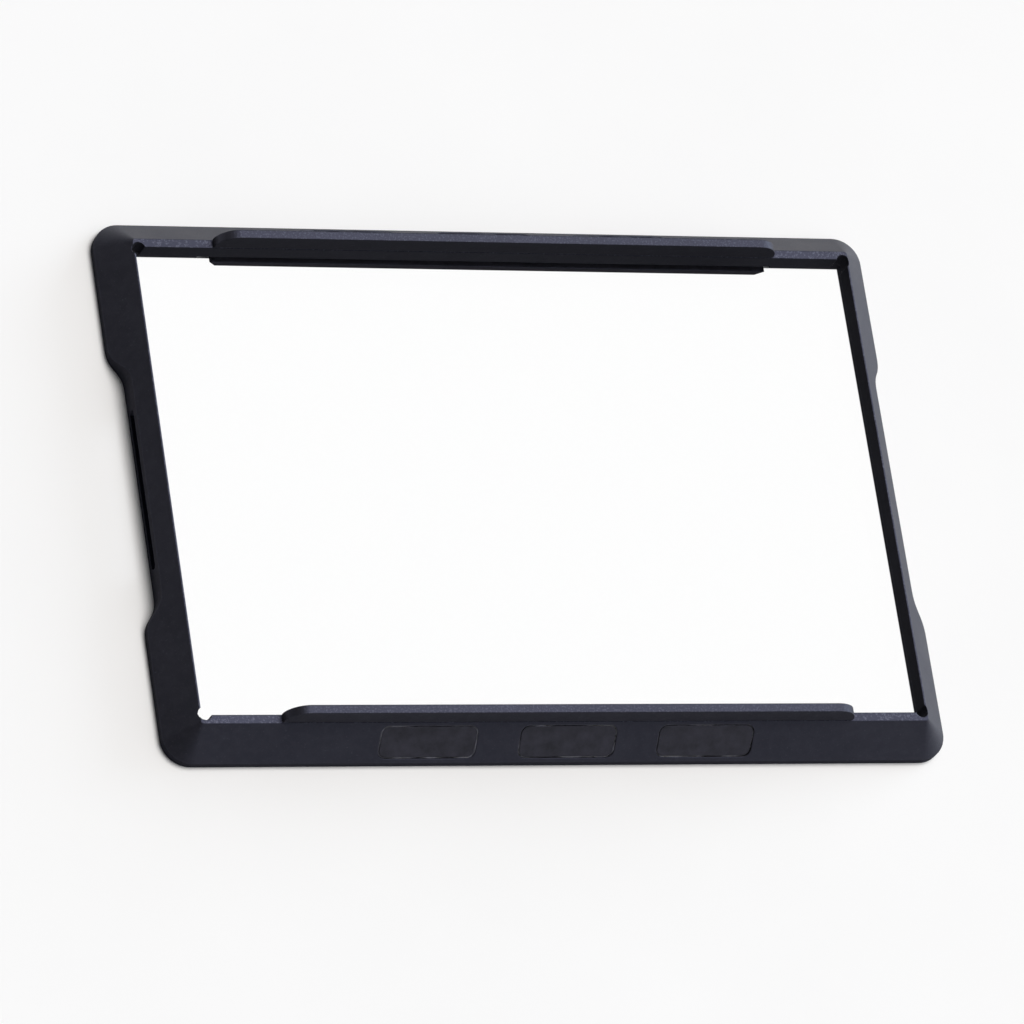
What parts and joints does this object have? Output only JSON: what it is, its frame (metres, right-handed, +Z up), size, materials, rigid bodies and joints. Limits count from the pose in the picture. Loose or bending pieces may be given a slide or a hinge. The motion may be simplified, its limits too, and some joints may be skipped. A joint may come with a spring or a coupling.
{
  "type": "negative carrier",
  "caption": "Flat bevelled frame with guide rails and film slots that lifts off a clear glass stage and holds film flat under a large rectangular window.",
  "frame": {"origin": "centre of the footprint, on the table", "axes": "+X along the long side towards the right end, +Y towards the far side, +Z up, the way the frame lifts off"},
  "size_m": [0.176, 0.1214, 0.0139],
  "materials": {
    "frame_plastic": "fine satin grain, cool black",
    "rail_plastic": "fine satin grain with a sanded top edge",
    "bar_plastic": "fine satin grain, cool black",
    "magnet_coating": "dull coated face, slightly mottled",
    "keeper_steel": "plain rolled",
    "clear_glass": "polished, clear"
  },
  "bodies": {
    "stage": {"glass_plate": "clear_glass", "stage_bar_near": "bar_plastic", "stage_bar_far": "bar_plastic", "keeper_near_left": "keeper_steel", "keeper_near_middle": "keeper_steel", "keeper_near_right": "keeper_steel", "keeper_far_left": "keeper_steel", "keeper_far_middle": "keeper_steel", "keeper_far_right": "keeper_steel"},
    "cover": {"upper_frame": "frame_plastic", "guide_rail_near": "rail_plastic", "guide_rail_far": "rail_plastic", "magnet_near_left": "magnet_coating", "magnet_near_middle": "magnet_coating", "magnet_near_right": "magnet_coating", "magnet_far_left": "magnet_coating", "magnet_far_middle": "magnet_coating", "magnet_far_right": "magnet_coating"}
  },
  "joints": [
    {"name": "frame_lift", "type": "slide", "parent": "stage", "child": "cover", "axis": [0, 0, 1], "range_m": [0, 0.015]}
  ]
}
